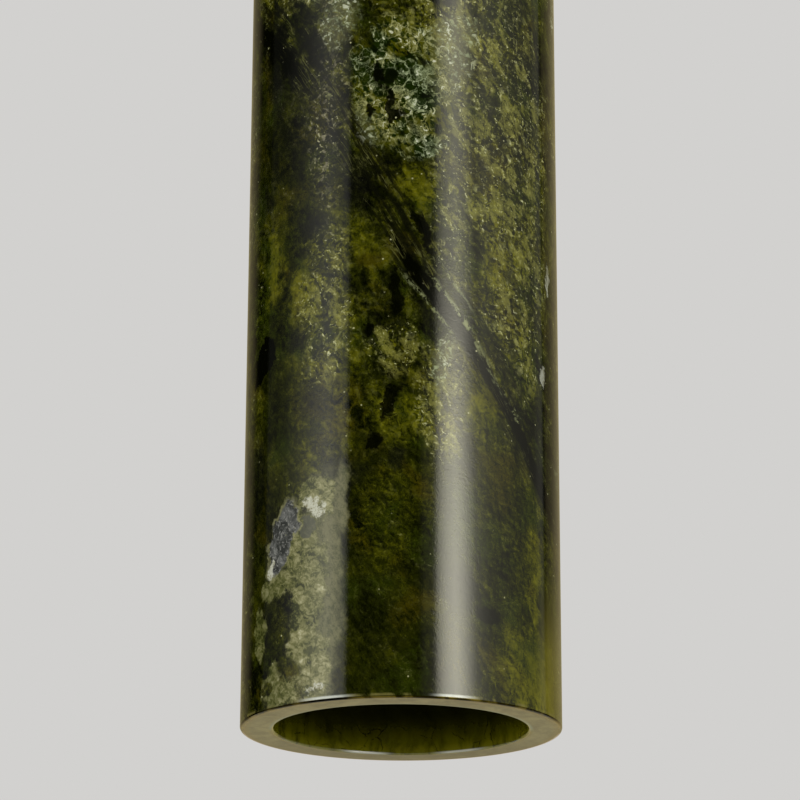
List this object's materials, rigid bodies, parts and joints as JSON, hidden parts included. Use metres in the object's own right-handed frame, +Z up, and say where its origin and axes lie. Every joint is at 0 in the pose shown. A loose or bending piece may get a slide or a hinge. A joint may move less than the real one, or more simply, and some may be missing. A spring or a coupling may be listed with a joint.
{
  "type": "stone tube pendant light",
  "caption": "Slim pendant light: a polished green jade tube, open below, hung by an inner lip from a brass cap and cord gland, with a lampholder and tubular lamp inside.",
  "frame": {"origin": "centre of the cord's mouth, at the top of the gland nut", "axes": "+Z up along the tube's axis, towards the cord; -Y towards the picture's camera"},
  "size_m": [0.08, 0.08, 0.4089],
  "materials": {
    "jade": "polished green nephrite, mottled and veined",
    "brushed_brass": "brushed and lacquered",
    "contact_brass": "bright stamped brass",
    "plated_steel": "zinc plated",
    "gasket_rubber": "matt black",
    "collet_nylon": "natural nylon",
    "holder_black": "satin black lacquer",
    "block_ceramic": "unglazed white",
    "insulator_glass": "black vitreous",
    "lamp_plating": "nickel plated",
    "satin_glass": "satin etched"
  },
  "bodies": {
    "pendant": {"jade_tube": "jade", "top_cap": "brushed_brass", "cap_gasket": "gasket_rubber", "carrier_gasket": "gasket_rubber", "carrier_plate": "plated_steel", "earth_washer": "contact_brass", "earth_screw": "contact_brass", "spring_washer": "plated_steel", "clamp_nut": "plated_steel", "hollow_rod": "plated_steel", "gland_body": "brushed_brass", "gland_collet": "collet_nylon", "gland_nut": "brushed_brass", "holder_cap": "holder_black", "holder_grub_screw": "plated_steel", "holder_shell": "holder_black", "contact_block": "block_ceramic", "terminal_clamps": "contact_brass", "terminal_screws": "plated_steel", "screw_shell": "contact_brass", "liner_screws": "plated_steel", "centre_contact": "contact_brass", "contact_rivet": "contact_brass"},
    "lamp": {"lamp_contact": "lamp_plating", "lamp_insulator": "insulator_glass", "lamp_cap": "lamp_plating", "lamp_envelope": "satin_glass"}
  },
  "joints": [
    {"name": "lamp_removal", "type": "slide", "parent": "pendant", "child": "lamp", "axis": [0, 0, -1], "range_m": [0, 0.33]}
  ]
}
